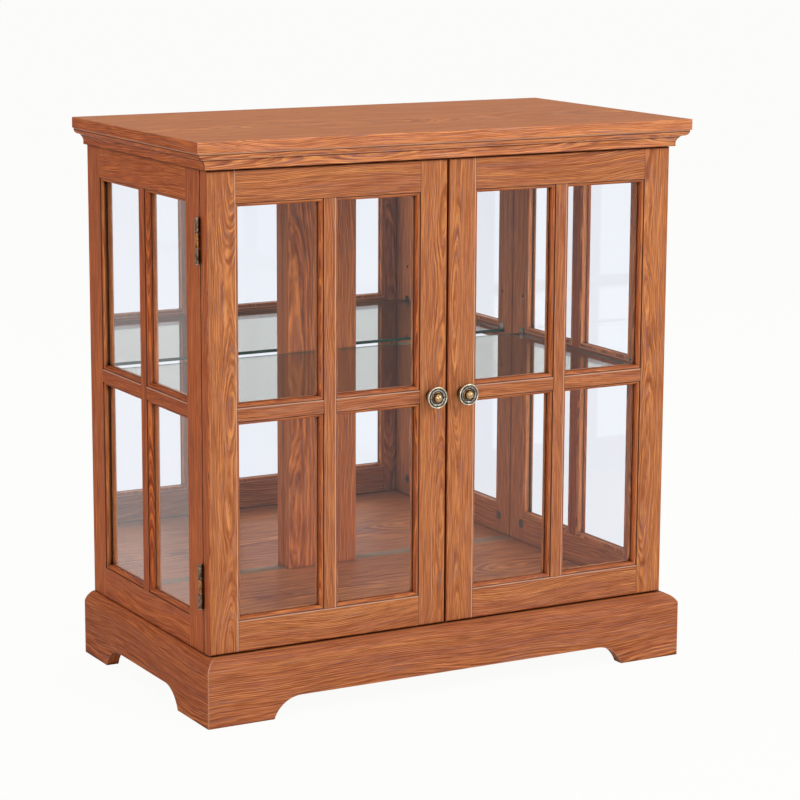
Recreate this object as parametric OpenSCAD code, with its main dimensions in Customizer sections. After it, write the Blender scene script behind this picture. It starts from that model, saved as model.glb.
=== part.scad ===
// Glazed display cabinet: a framed case with two doors, a moulded crown and a bracket plinth.
// X runs across the front, Y from front to back, Z up. The origin is on the floor, under the
// middle of the whole object.

/* [Case] */
// Width of the case and of the two doors together
case_w = 766; // [560:1:1000]
// Depth of the case behind the doors
case_d = 396; // [280:1:520]
// Height of the case, from the plinth to the underside of the top board
case_h = 715; // [560:1:1100]
// Thickness of the side frames
side_t = 20; // [18:0.5:26]
// Width of the flat face of a side stile
side_stile_w = 46; // [34:1:60]
// Width of the flat face of a side's bottom rail
side_rail_w = 46; // [40:1:70]
// Thickness of the panel under the top board
top_panel_t = 16; // [12:0.5:22]
// Thickness of the floor panel
floor_t = 18; // [14:0.5:24]
// Height of the rail above the doors, inside the case
top_rail_h = 71; // [50:1:110]
// Thickness of that rail
top_rail_t = 20; // [14:0.5:28]

/* [Doors] */
// Thickness of a door
door_t = 20; // [18:0.5:26]
// Room between the door's back and the case, which the hinge leaves fill
hinge_room = 3; // [3:0.1:5]
// Gap between the two doors
meeting_gap = 3; // [2:0.1:5]
// Gap above and below a door
door_gap = 1.5; // [1:0.1:3]
// Width of the flat face of a door stile
door_stile_w = 44; // [36:1:60]
// Width of the flat face of a door rail
door_rail_w = 46; // [36:1:70]
// Radius on a door's outer front edges
door_edge_r = 3; // [0.5:0.1:6]

/* [Glazing] */
// Width of the flat face of a glazing bar
bar_w = 19; // [12:0.5:34]
// Width of the moulded edge around each pane
stick_w = 5.5; // [3:0.1:7]
// Depth of the moulded edge, which is where the pane seats
stick_d = 9; // [8.5:0.1:11]
// Step between a frame's face and its moulded edge
quirk = 1.3; // [0.4:0.1:1.4]
// Thickness of a pane
glass_t = 3; // [2:0.1:4]
// Room around a pane in its rebate
pane_gap = 1; // [0.5:0.1:2]
// Length of a stub tenon
tenon_l = 10; // [6:0.5:16]
// Thickness of a stub tenon
tenon_t = 6; // [4:0.5:8]
// Clearance of a tenon in its mortise
tenon_gap = 0.1; // [0.05:0.05:0.3]

/* [Top and crown] */
// Overhang of the top board past the case sides and the door faces
board_out = 23.5; // [20:0.5:40]
// Thickness of the top board
board_t = 16; // [12:0.5:30]
// Radius on the top board's front and side edges
board_edge_r = 0.8; // [0.4:0.1:4]
// Height of the crown moulding
crown_h = 25; // [25:0.5:34]
// Distance of the crown's lowest band out from the case
crown_band = 5.9; // [4:0.1:7]
// Step back from the board's edge to the crown
crown_reveal = 2.2; // [1:0.1:4]
// Height of the square fillet at the crown's top
crown_fillet_h = 1.2; // [1:0.1:3]
// Radius of the crown's ovolo
ovolo_r = 8; // [4:0.1:9]
// Width of the small ledge under the ovolo
ledge_w = 0.7; // [0.5:0.1:3]
// Height of the crown's lowest band
band_h = 6.3; // [5:0.1:10]
// Radius of the shallow cove between the ledge and the band
cove_r = 18; // [11:0.5:30]

/* [Plinth] */
// Height of the plinth
plinth_h = 96; // [80:1:140]
// Thickness of the plinth boards
plinth_t = 19; // [18:0.5:22]
// Overhang of the plinth past the case sides
plinth_side_out = 17; // [10:0.5:18]
// Overhang of the plinth past the door faces
plinth_front_out = 27; // [20:0.5:40]
// Width of the plinth's sloping top edge
plinth_edge_w = 14; // [6:0.5:16]
// Height of the plinth's sloping top edge
plinth_edge_h = 13.5; // [6:0.5:20]
// Radius of the plinth's sloping top edge
plinth_edge_r = 24; // [20:0.5:40]
// Radius of the plinth's upright front corners
plinth_corner_r = 2; // [0.5:0.1:4]
// Height of the board between the plinth's rear ends
plinth_back_h = 65.5; // [30:0.5:78]
// Height of the arches between the feet
arch_h = 30.5; // [20:0.5:36]
// Radius of the arches' round ends
arch_r = 46; // [38:0.5:60]
// Length of the feet at the front corners
front_foot = 104; // [70:1:140]
// Length of the feet at the rear corners
rear_foot = 84; // [60:1:120]
// Side of the glue blocks in the plinth's corners
block_w = 34; // [20:1:50]

/* [Back] */
// Width of the post between the two mirrors
post_w = 120; // [60:1:200]
// Distance of the post's face in front of the mirrors
post_t = 20; // [12:0.5:24]
// Width of the rebate behind the post, which takes a mirror's edge
post_rebate = 10; // [6:0.5:20]
// Thickness of the mirrors
mirror_t = 3; // [2:0.1:5]
// Thickness of the boards behind the mirrors
back_t = 2.5; // [2:0.5:9]
// Distance of the back boards in from the case's rear edge
back_inset = 0; // [0:0.5:12]
// Room at the ends of a mirror and of a back board
back_gap = 0.5; // [0.2:0.1:2]

/* [Shelf] */
// Height of the shelf's top above the case floor
shelf_z = 350; // [200:1:480]
// Thickness of the glass shelf
shelf_t = 5; // [4:0.5:8]
// Gap between the shelf and each case side
shelf_gap = 3; // [2:0.5:6]
// Distance of the shelf's front edge behind the case's front edge
shelf_front = 8; // [4:1:60]
// Gap between the shelf and the post
shelf_rear_gap = 3; // [0.5:0.5:10]
// Pitch of the shelf-pin holes
pin_pitch = 64; // [32:32:96]
// Distance of the shelf-pin holes from the case's front and rear edges
pin_inset = 37; // [30:1:60]
// Radius of a shelf-pin hole
pin_hole_r = 2.6; // [2.1:0.1:3.5]
// Depth of a shelf-pin hole
pin_hole_d = 9; // [7:0.5:11]

/* [Hinges and handles] */
// Height of a hinge
hinge_h = 63.5; // [45:0.5:80]
// Distance of a hinge from the end of the door
hinge_inset = 66; // [50:1:110]
// Radius of a hinge knuckle
knuckle_r = 3.5; // [3:0.1:4.5]
// Room at each end of a hinge knuckle
knuckle_room = 1; // [0.3:0.1:2]
// Distance of the hinge axis out from the case's side
hinge_out = 4.5; // [3.8:0.1:6]
// Width of a hinge leaf on the wood
leaf_w = 17.5; // [14:0.5:18]
// Thickness of a hinge leaf
leaf_t = 1.2; // [0.8:0.1:1.3]
// Radius of a hinge pin
hinge_pin_r = 1.45; // [1:0.05:2]
// Radius of a knob
knob_r = 16; // [13:0.5:22]
// Distance of a knob's top from the door's face
knob_out = 26; // [22:0.5:26.5]

/* [Hidden] */
$fn = 64;
oak = [0.66, 0.35, 0.19];
oak_dark = [0.55, 0.27, 0.14];
oak_pale = [0.72, 0.43, 0.25];
ply = [0.72, 0.55, 0.36];
glass_tint = [0.75, 0.86, 0.84, 0.4];
silver = [0.82, 0.85, 0.87];
old_brass = [0.52, 0.45, 0.33];
pewter = [0.36, 0.34, 0.31];
steel = [0.6, 0.6, 0.6];
plastic = [0.2, 0.18, 0.16];

// Running and seating clearances
cut = 1;
fit_gap = 0.05;
hole_gap = 0.1;
mitre_gap = 0.05;
knuckle_gap = 0.3;

// Small sizes of the case
side_edge_r = 1;
stop_edge_r = 2;
shelf_edge_r = 1;
mirror_lap = post_rebate - back_gap;

// Places from front to back
overall_d = plinth_front_out + door_t + hinge_room + case_d;
door_y = plinth_front_out - overall_d / 2;
case_y = door_y + door_t + hinge_room;
rear_y = case_y + case_d;
plinth_y = -overall_d / 2;
back_y = rear_y - back_inset - back_t;
mirror_y = back_y - mirror_t;
post_y = mirror_y - post_t;

// Places across
case_x = case_w / 2;
inner_x = case_x - side_t;
plinth_x = case_x + plinth_side_out;
plinth_in_x = plinth_x - plinth_t;
board_x = case_x + board_out;
door_w = (case_w - meeting_gap) / 2;

// Heights
case_z = plinth_h;
board_z = case_z + case_h;
crown_z = board_z - crown_h;
panel_z = board_z - top_panel_t;
door_z = case_z + door_gap;
door_h = crown_z - door_gap - door_z;
door_top = door_z + door_h;
rail_z = board_z - top_rail_h;
shelf_top = case_z + shelf_z;
shelf_low = shelf_top - shelf_t;
pin_z = shelf_low + shelf_t / 2;

// Frames as [width, height, stile, bottom rail, top rail, thickness, edge radius]
door_frame = [door_w, door_h, door_stile_w, door_rail_w, door_rail_w, door_t, door_edge_r];
side_frame = [case_d, case_h, side_stile_w, side_rail_w, top_rail_h, side_t, side_edge_r];

// The crown's section, outwards from the case and up from its underside
crown_top_out = board_out - crown_reveal;
ovolo_z = crown_h - crown_fillet_h;
ovolo_x = crown_top_out - ovolo_r;
ledge_z = ovolo_z - ovolo_r;
ledge_x = ovolo_x - ledge_w;
cove_centre = arc_centre([crown_band, band_h], [ledge_x, ledge_z], cove_r);

// The plinth's section, outwards from its inner face and up from the floor
plinth_edge_centre = arc_centre(
  [plinth_t, plinth_h - plinth_edge_h], [plinth_t - plinth_edge_w, plinth_h], -plinth_edge_r
);

// Centre of the arc of radius r through p and q, on the right of p to q, or on the left for -r
function arc_centre(p, q, r) =
  let (run = q - p, reach = sqrt(pow(r, 2) - pow(norm(run) / 2, 2)) * sign(r))
    p + run / 2 + reach * [run[1], -run[0]] / norm(run);

// Hinges
hinge_x = case_x + hinge_out;
hinge_y = case_y - hinge_room / 2;
hinge_zs = [door_z + hinge_inset, door_top - hinge_inset - hinge_h];
knuckle_h = hinge_h / 3;
pin_head_r = 2.7;
pin_head_h = 0.9;
bore_r = hinge_pin_r + fit_gap;
leaf_edge = hinge_out - knuckle_r - knuckle_gap;
leaf_corner_r = 1.5;
screw_r = 1.45;
screw_head_r = 3;
screw_l = 14;
screw_stagger = 3;
screw_places = [for (i = [0 : 2]) [(i % 2) * 2 - 1, (i + 0.5) / 3]];

// Knobs, from the door's face outwards
knob_x = meeting_gap / 2 + (door_stile_w + stick_w) / 2;
knob_z = door_z + door_h / 2;
knob_base_r = 9.6;
knob_base_h = 1.4;
knob_base_top = 3.6;
knob_neck_r = 5.2;
knob_neck_top = 9;
knob_rim_low = 14.5;
knob_rim_top = 19.5;
knob_rim_bead = 1.1;
knob_ring_r = 1.8;
knob_ring_at = 10.9;
knob_collar_r = 0.7;
knob_collar_at = 7.8;
knob_face = 17.6;
knob_dome_r = 6.6;
knob_screw_r = 2;
knob_screw_in = 12;
knob_head_r = 4.2;
knob_head_h = 2.2;

// Shelf clips
clip_w = 12;
clip_t = 1.2;
clip_arm = 19;
clip_rise = 10;
clip_pin_r = pin_hole_r - hole_gap;
clip_pin_l = pin_hole_d - cut;
clip_ys = [case_y + pin_inset, rear_y - pin_inset];

// Cam fittings between the sides and the floor panel
cam_r = 7.5;
cam_d = 13;
cam_inset = 41;
cam_z = 30;
cam_bolt_r = 3;
cam_bolt_in = 11;
cam_slot = 1.4;
cam_ys = [cam_inset, case_d - cam_inset];

// Magnetic catch and its strikes
catch_w = 46;
catch_d = 16;
catch_h = 13;
catch_pole_t = 1.5;
catch_pole_h = 9;
catch_reach = 1.3;
strike_w = 17;
strike_h = 12;
strike_t = 1;
strike_x = 4;
strike_drop = 1;

// Frame layout: the flat edges of the two columns and the two rows of panes
function column(f, i) = let (mid = f[0] / 2, half = bar_w / 2)
  i == 0 ? [f[2], mid - half] : [mid + half, f[0] - f[2]];
function bar_mid(f) = (f[3] + f[1] - f[4]) / 2;
function row(f, i) = let (mid = bar_mid(f), half = bar_w / 2)
  i == 0 ? [f[3], mid - half] : [mid + half, f[1] - f[4]];

// Placing: pieces of the left side or door are drawn once, and the right ones mirrored
module on_right() {
  mirror([1, 0, 0]) children();
}

module both_sides() {
  children();
  on_right() children();
}

module at_left_side() {
  translate([-case_x, case_y, case_z]) mirror([1, -1, 0]) children();
}

module at_left_door() {
  translate([-case_x, door_y, door_z]) children();
}

// Turns a shape that lies along Z so that it lies along X
module lay_along_x() {
  mirror([1, 0, -1]) children();
}

// A cylinder along Y
module round_y(r, l) {
  rotate([-90, 0, 0]) cylinder(r = r, h = l);
}

// Frames
module eased_outline(w, t, r_near, r_far) {
  difference() {
    square([w, t]);
    if (r_near > 0) corner_cut(r_near);
    if (r_far > 0) translate([w, 0]) mirror([1, 0]) corner_cut(r_far);
  }
}

module corner_cut(r) {
  difference() {
    square(r);
    translate([r, r]) circle(r);
  }
}

module eased_bar(w, t, h, r, near, far, low, high) {
  intersection() {
    linear_extrude(h) eased_outline(w, t, near * r, far * r);
    lay_along_x() linear_extrude(w) eased_outline(h, t, low * r, high * r);
  }
}

module mitred_run(run, d, gap) {
  translate([0, d, 0]) rotate([90, 0, 0]) linear_extrude(d) polygon([
    [0, gap], [stick_w, stick_w + gap], [stick_w, run - stick_w - gap], [0, run - gap]
  ]);
}

module stick_outline() {
  translate([0, quirk]) intersection() {
    translate([0, stick_w]) circle(stick_w);
    square(stick_w);
  }
  translate([0, quirk + stick_w]) square([stick_w, stick_d - quirk - stick_w]);
}

module moulded_edge(run) {
  intersection() {
    linear_extrude(run) stick_outline();
    mitred_run(run, stick_d, 0);
  }
}

module stop_strip(run, t) {
  d = t - stick_d - glass_t;
  translate([0, t, 0]) mirror([0, 1, 0]) intersection() {
    linear_extrude(run) translate([stick_w, 0]) mirror([1, 0])
      eased_outline(stick_w, d, stop_edge_r, 0);
    mitred_run(run, d, mitre_gap);
  }
}

module on_edge(c, r, edge) {
  if (edge == "near") translate([c[0], 0, r[0]]) children();
  if (edge == "far") translate([c[1], 0, r[0]]) mirror([1, 0, 0]) children();
  if (edge == "low") translate([c[0], 0, r[0]]) lay_along_x() children();
  if (edge == "high") translate([c[0], 0, r[1]]) mirror([0, 0, 1]) lay_along_x() children();
}

module edge_of_pane(f, col, line, edge) {
  c = column(f, col);
  r = row(f, line);
  run = (edge == "near" || edge == "far") ? r[1] - r[0] : c[1] - c[0];
  on_edge(c, r, edge) moulded_edge(run);
}

module tenon(rail_w, grow) {
  translate([-tenon_l, (door_t - tenon_t) / 2, rail_w / 4] - grow * [1, 1, 1])
    cube([tenon_l, tenon_t, rail_w / 2] + 2 * grow * [1, 1, 1]);
}

module rail_tenons(f, rail_w, z, grow) {
  translate([f[2], 0, z]) tenon(rail_w, grow);
  translate([f[0] - f[2], 0, z]) mirror([1, 0, 0]) tenon(rail_w, grow);
}

module bar_tenons(f, grow) {
  mid = (f[0] - bar_w) / 2;
  for (z = [f[3] - tenon_l / 2, f[1] - f[4] - tenon_l / 2])
    translate([mid + bar_w / 4, (f[5] - tenon_t) / 2, z] - grow * [1, 1, 1])
      cube([bar_w / 2, tenon_t, tenon_l] + 2 * grow * [1, 1, 1]);
}

module stile(f) {
  difference() {
    union() {
      eased_bar(f[2], f[5], f[1], f[6], 1, 0, 1, 1);
      for (line = [0, 1]) edge_of_pane(f, 0, line, "near");
    }
    rail_tenons(f, f[3], 0, tenon_gap);
    rail_tenons(f, f[4], f[1] - f[4], tenon_gap);
  }
}

module far_stile(f) {
  translate([f[0], 0, 0]) mirror([1, 0, 0]) stile(f);
}

module bottom_rail(f) {
  difference() {
    union() {
      translate([f[2], 0, 0])
        eased_bar(f[0] - 2 * f[2], f[5], f[3], f[6], 0, 0, 1, 0);
      for (col = [0, 1]) edge_of_pane(f, col, 0, "low");
      rail_tenons(f, f[3], 0, 0);
    }
    bar_tenons(f, tenon_gap);
  }
}

module top_rail(f) {
  difference() {
    union() {
      translate([f[2], 0, f[1] - f[4]])
        eased_bar(f[0] - 2 * f[2], f[5], f[4], f[6], 0, 0, 0, 1);
      for (col = [0, 1]) edge_of_pane(f, col, 1, "high");
      rail_tenons(f, f[4], f[1] - f[4], 0);
    }
    bar_tenons(f, tenon_gap);
  }
}

module bars(f) {
  left = column(f, 0);
  right = column(f, 1);
  low = row(f, 0);
  high = row(f, 1);
  translate([left[1], 0, low[0]]) cube([bar_w, f[5], high[1] - low[0]]);
  bar_tenons(f, 0);
  for (line = [0, 1]) {
    edge_of_pane(f, 0, line, "far");
    edge_of_pane(f, 1, line, "near");
  }
  for (c = [left, right])
    translate([c[0], 0, low[1]]) cube([c[1] - c[0], f[5], bar_w]);
  for (col = [0, 1]) {
    edge_of_pane(f, col, 0, "high");
    edge_of_pane(f, col, 1, "low");
  }
}

module panes(f) {
  for (i = [0, 1], j = [0, 1]) {
    c = column(f, i);
    r = row(f, j);
    translate([c[0] + pane_gap, stick_d, r[0] + pane_gap])
      cube([c[1] - c[0] - 2 * pane_gap, glass_t, r[1] - r[0] - 2 * pane_gap]);
  }
}

module stops(f) {
  for (i = [0, 1], j = [0, 1], edge = ["near", "far", "low", "high"]) {
    c = column(f, i);
    r = row(f, j);
    run = (edge == "near" || edge == "far") ? r[1] - r[0] : c[1] - c[0];
    on_edge(c, r, edge) stop_strip(run, f[5]);
  }
}

// Plinth
module plinth_outline() {
  difference() {
    square([plinth_t, plinth_h]);
    difference() {
      translate([plinth_t - plinth_edge_w, plinth_h - plinth_edge_h])
        square([plinth_edge_w + cut, plinth_edge_h + cut]);
      translate(plinth_edge_centre) circle(plinth_edge_r, $fn = 96);
    }
  }
}

module arch(from, to) {
  in = sqrt(pow(arch_r, 2) - pow(arch_r - arch_h, 2));
  translate([from + in, -cut]) square([to - from - 2 * in, arch_h + cut]);
  for (x = [from + in, to - in]) translate([x, arch_h - arch_r]) circle(arch_r, $fn = 96);
}

module plinth_corner() translate([-plinth_x, plinth_y, -cut])
  linear_extrude(plinth_h + 2 * cut) corner_cut(plinth_corner_r);

module plinth_front() color(oak) difference() {
  intersection() {
    translate([-plinth_x, plinth_y + plinth_t, 0]) mirror([0, 1, 0])
      rotate([90, 0, 90]) linear_extrude(2 * plinth_x) plinth_outline();
    linear_extrude(plinth_h) polygon([
      [-plinth_x, plinth_y], [plinth_x, plinth_y],
      [plinth_in_x, plinth_y + plinth_t], [-plinth_in_x, plinth_y + plinth_t]
    ]);
  }
  translate([0, plinth_y + plinth_t + cut, 0]) rotate([90, 0, 0])
    linear_extrude(plinth_t + 2 * cut) arch(front_foot - plinth_x, plinth_x - front_foot);
  both_sides() plinth_corner();
}

module plinth_side() color(oak) difference() {
  intersection() {
    translate([-plinth_in_x, rear_y, 0]) mirror([1, 0, 0])
      rotate([90, 0, 0]) linear_extrude(overall_d) plinth_outline();
    linear_extrude(plinth_h) polygon([
      [-plinth_x, plinth_y], [-plinth_in_x, plinth_y + plinth_t],
      [-plinth_in_x, rear_y], [-plinth_x, rear_y]
    ]);
  }
  translate([-plinth_x - cut, 0, 0]) rotate([90, 0, 90])
    linear_extrude(plinth_t + 2 * cut) arch(plinth_y + front_foot, rear_y - rear_foot);
  plinth_corner();
}

module plinth_left() plinth_side();

module plinth_right() on_right() plinth_side();

module plinth_back() color(ply)
  translate([-plinth_in_x, rear_y - plinth_t, plinth_h - plinth_back_h])
    cube([2 * plinth_in_x, plinth_t, plinth_back_h]);

module corner_blocks() color(ply) {
  z = arch_h;
  h = case_z - floor_t - z;
  both_sides() {
    translate([-plinth_in_x, plinth_y + plinth_t, z]) linear_extrude(h)
      polygon([[0, 0], [block_w, 0], [0, block_w]]);
    translate([-plinth_in_x, rear_y - plinth_t, z]) linear_extrude(h)
      polygon([[0, 0], [block_w, 0], [0, -block_w]]);
  }
}

module floor_panel() color(oak_dark) difference() {
  front = plinth_y + plinth_t;
  translate([-plinth_in_x, front, case_z - floor_t])
    cube([2 * plinth_in_x, rear_y - plinth_t - front, floor_t]);
  both_sides() at_left_side() for (x = cam_ys)
    translate([x, side_t / 2, -cam_bolt_in - hole_gap])
      cylinder(r = cam_bolt_r + hole_gap, h = cam_bolt_in + hole_gap + cut);
}

// Case sides
module pin_holes(x) {
  for (i = [-1 : 1])
    translate([x, side_t - pin_hole_d, pin_z - case_z + i * pin_pitch])
      round_y(pin_hole_r, pin_hole_d + cut);
}

module case_screw_holes() {
  both_sides() for (z = hinge_zs) for (p = screw_places)
    translate([-screw_x(p), case_y - cut, z + p[1] * hinge_h])
      round_y(screw_r + hole_gap, screw_l + cut + hole_gap);
}

module cam_holes() {
  for (x = cam_ys) {
    translate([x, side_t - cam_d - hole_gap, cam_z])
      round_y(cam_r + hole_gap, cam_d + hole_gap + cut);
    translate([x, side_t / 2, -cut]) cylinder(r = cam_bolt_r + hole_gap, h = cam_z + cut);
  }
}

module left_side_front_stile() color(oak) difference() {
  at_left_side() difference() {
    stile(side_frame);
    pin_holes(pin_inset);
    cam_holes();
  }
  case_screw_holes();
}

module left_side_rear_stile() color(oak) at_left_side() difference() {
  far_stile(side_frame);
  pin_holes(case_d - pin_inset);
  cam_holes();
}

module left_side_top_rail() color(oak) at_left_side() top_rail(side_frame);

// The rail's tenons end at the bolts
module left_side_bottom_rail() color(oak) at_left_side() difference() {
  bottom_rail(side_frame);
  cam_holes();
  translate([0, 0, -cut]) {
    cube([cam_inset, side_t, side_rail_w]);
    translate([case_d - cam_inset, 0, 0]) cube([cam_inset, side_t, side_rail_w]);
  }
}

module left_side_bars() color(oak) at_left_side() bars(side_frame);

module left_side_glass() color(glass_tint) at_left_side() panes(side_frame);

module right_side_front_stile() on_right() left_side_front_stile();

module right_side_rear_stile() on_right() left_side_rear_stile();

module right_side_top_rail() on_right() left_side_top_rail();

module right_side_bottom_rail() on_right() left_side_bottom_rail();

module right_side_bars() on_right() left_side_bars();

module right_side_glass() on_right() left_side_glass();

module side_glazing_stops() color(oak_dark) both_sides() at_left_side() stops(side_frame);

module front_top_rail() color(oak_dark)
  translate([-inner_x, case_y, rail_z]) cube([2 * inner_x, top_rail_t, top_rail_h]);

module head_rail() color(oak_dark)
  translate([-case_x, door_y, crown_z]) cube([case_w, case_y - door_y, crown_h]);

module top_panel() color(oak_dark)
  translate([-inner_x, case_y + top_rail_t, panel_z])
    cube([2 * inner_x, case_d - top_rail_t, top_panel_t]);

// Back
module centre_post() color(oak) {
  h = panel_z - case_z;
  tongue = post_w - 2 * post_rebate;
  translate([-post_w / 2, post_y, case_z]) cube([post_w, post_t, h]);
  translate([-tongue / 2, mirror_y, case_z]) cube([tongue, mirror_t, h]);
}

module mirror_left() color(silver) {
  near = post_w / 2 - mirror_lap;
  translate([-inner_x + back_gap, mirror_y, case_z])
    cube([inner_x - near - back_gap, mirror_t, panel_z - case_z - back_gap]);
}

module mirror_right() on_right() mirror_left();

module back_boards() color(ply) both_sides()
  translate([-inner_x + back_gap, back_y, case_z])
    cube([inner_x - 2 * back_gap, back_t, panel_z - case_z - back_gap]);

// Top board and crown
module top_board() color(oak_pale) {
  front = door_y - board_out;
  depth = rear_y - front;
  intersection() {
    translate([-board_x, rear_y, board_z]) rotate([90, 0, 0]) linear_extrude(depth)
      board_outline(2 * board_x, true);
    translate([-board_x, front, board_z]) rotate([90, 0, 90]) linear_extrude(2 * board_x)
      board_outline(depth, false);
  }
}

module board_outline(w, both) {
  difference() {
    square([w, board_t]);
    corner_cut(board_edge_r);
    translate([0, board_t]) mirror([0, 1]) corner_cut(board_edge_r);
    if (both) translate([w, 0]) mirror([1, 0]) {
      corner_cut(board_edge_r);
      translate([0, board_t]) mirror([0, 1]) corner_cut(board_edge_r);
    }
  }
}

module crown_outline() {
  difference() {
    union() {
      square([crown_band, crown_h]);
      translate([0, ledge_z]) square([ovolo_x, crown_h - ledge_z]);
      translate([0, ovolo_z]) square([crown_top_out, crown_fillet_h]);
      translate([ovolo_x, ovolo_z]) intersection() {
        circle(ovolo_r);
        translate([0, -ovolo_r]) square(ovolo_r);
      }
      polygon([[0, band_h], [crown_band, band_h], [ledge_x, ledge_z], [0, ledge_z]]);
    }
    intersection() {
      translate(cove_centre) circle(cove_r, $fn = 96);
      translate([0, band_h]) square([crown_top_out, ledge_z - band_h]);
    }
  }
}

module crown_front() color(oak) intersection() {
  translate([-board_x, door_y, crown_z]) mirror([0, 1, 0])
    rotate([90, 0, 90]) linear_extrude(2 * board_x) crown_outline();
  translate([0, 0, crown_z]) linear_extrude(crown_h) polygon([
    [-case_x, door_y], [-case_x - crown_top_out, door_y - crown_top_out],
    [case_x + crown_top_out, door_y - crown_top_out], [case_x, door_y]
  ]);
}

module crown_side() color(oak) intersection() {
  translate([-case_x, rear_y, crown_z]) mirror([1, 0, 0])
    rotate([90, 0, 0]) linear_extrude(rear_y - door_y + board_out) crown_outline();
  translate([0, 0, crown_z]) linear_extrude(crown_h) polygon([
    [-case_x, door_y], [-case_x - crown_top_out, door_y - crown_top_out],
    [-case_x - crown_top_out, rear_y], [-case_x, rear_y]
  ]);
}

module crown_left() crown_side();

module crown_right() on_right() crown_side();

// Shelf
module glass_shelf() color(glass_tint) {
  w = 2 * (inner_x - shelf_gap);
  front = case_y + shelf_front;
  d = post_y - shelf_rear_gap - front;
  translate([-w / 2, front, shelf_low]) cube([w, d, shelf_t]);
}

module clip() {
  plate_h = clip_t + shelf_t + clip_rise;
  translate([0, -clip_w / 2, shelf_low - clip_t]) {
    cube([clip_arm, clip_w, clip_t]);
    cube([clip_t, clip_w, plate_h - clip_w / 2]);
  }
  translate([0, 0, shelf_low - clip_t + plate_h - clip_w / 2]) rotate([0, 90, 0])
    cylinder(r = clip_w / 2, h = clip_t);
  translate([-clip_pin_l, 0, pin_z]) rotate([0, 90, 0])
    cylinder(r = clip_pin_r, h = clip_pin_l);
}

module shelf_clips() color(pewter) both_sides() for (y = clip_ys)
  translate([-inner_x, y, 0]) clip();

// Fittings
module cam_fittings() color(steel) both_sides() at_left_side() for (x = cam_ys) {
  difference() {
    translate([x, side_t - cam_d, cam_z]) round_y(cam_r, cam_d);
    for (turn = [0, 90]) translate([x, side_t, cam_z]) rotate([0, turn, 0])
      cube([cam_r, 2 * cam_slot, cam_slot], center = true);
    translate([x, side_t / 2, -cut]) cylinder(r = cam_bolt_r + hole_gap, h = cam_z + cut);
  }
  translate([x, side_t / 2, -cam_bolt_in])
    cylinder(r = cam_bolt_r, h = cam_bolt_in + cam_z - cam_slot);
}

module magnetic_catch() color(plastic) translate([0, case_y, rail_z]) {
  translate([-catch_w / 2, 0, -catch_h]) cube([catch_w, catch_d, catch_h]);
  for (side = [-1, 1], dz = [-1, 1])
    translate([side * (strike_x + strike_w / 2), 0, dz * catch_pole_h / 3 - catch_h / 2])
      translate([-strike_w / 3, -catch_reach, -catch_pole_t / 2])
        cube([2 * strike_w / 3, catch_reach, catch_pole_t]);
}

// Hinges: the case leaf holds the end knuckles, the door leaf the middle one
function screw_x(p) = case_x - leaf_w / 2 + leaf_edge / 2 + p[0] * screw_stagger;

module leaf_plate(y, holes_from) {
  difference() {
    translate([-case_x + leaf_w, y, 0]) mirror([1, 0, 0]) cube([leaf_w + leaf_edge, leaf_t, hinge_h]);
    for (p = screw_places) translate([-screw_x(p), y, p[1] * hinge_h])
      translate([0, holes_from * leaf_t, 0]) mirror([0, holes_from, 0])
        rotate([-90, 0, 0]) csk(screw_r + hole_gap, screw_head_r + hole_gap);
  }
}

// A countersunk head as thick as a leaf
module csk(r, head_r) {
  cylinder(r1 = head_r, r2 = r, h = leaf_t);
}

module knuckle(z, y) {
  translate([0, 0, z]) difference() {
    union() {
      translate([-hinge_x, hinge_y, 0]) cylinder(r = knuckle_r, h = knuckle_h - knuckle_room);
      translate([-hinge_x, y, 0])
        cube([hinge_out - leaf_edge, leaf_t, knuckle_h - knuckle_room]);
    }
    translate([-hinge_x, hinge_y, -cut]) cylinder(r = bore_r, h = knuckle_h + 2 * cut);
  }
}

module case_leaf() {
  y = case_y - leaf_t;
  leaf_plate(y, 0);
  for (z = [0, 2 * knuckle_h + knuckle_room]) knuckle(z, y);
}

module door_leaf() {
  y = case_y - hinge_room;
  leaf_plate(y, 1);
  knuckle(knuckle_h + knuckle_room / 2, y);
}

module case_hinge_leaves() color(old_brass) both_sides() for (z = hinge_zs)
  translate([0, 0, z]) case_leaf();

module hinge_pins() color(old_brass) both_sides() for (z = hinge_zs)
  translate([-hinge_x, hinge_y, z]) {
    cylinder(r = hinge_pin_r, h = hinge_h);
    translate([0, 0, hinge_h]) cylinder(r = pin_head_r, h = pin_head_h);
    translate([0, 0, -pin_head_h]) cylinder(r = pin_head_r, h = pin_head_h);
  }

module wood_screw() {
  csk(screw_r, screw_head_r);
  cylinder(r = screw_r, h = screw_l);
}

module case_hinge_screws() color(old_brass) both_sides() for (z = hinge_zs)
  for (p = screw_places) translate([-screw_x(p), case_y - leaf_t, z + p[1] * hinge_h])
    rotate([-90, 0, 0]) wood_screw();

// Doors
module door_screw_holes() {
  for (z = hinge_zs) for (p = screw_places)
    translate([-screw_x(p), case_y - hinge_room + cut, z + p[1] * hinge_h])
      rotate([90, 0, 0]) cylinder(r = screw_r + hole_gap, h = screw_l + cut + hole_gap);
}

module left_door_hinge_stile() color(oak_pale) difference() {
  at_left_door() stile(door_frame);
  door_screw_holes();
}

module left_door_meeting_stile() color(oak_pale) difference() {
  at_left_door() far_stile(door_frame);
  translate([-knob_x, door_y - cut, knob_z])
    round_y(knob_screw_r + hole_gap, door_t + 2 * cut);
}

module left_door_top_rail() color(oak) at_left_door() top_rail(door_frame);

module left_door_bottom_rail() color(oak) at_left_door() bottom_rail(door_frame);

module left_door_bars() color(oak) at_left_door() bars(door_frame);

module left_door_glass() color(glass_tint) at_left_door() panes(door_frame);

module left_door_glazing_stops() color(oak_dark) at_left_door() stops(door_frame);

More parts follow.
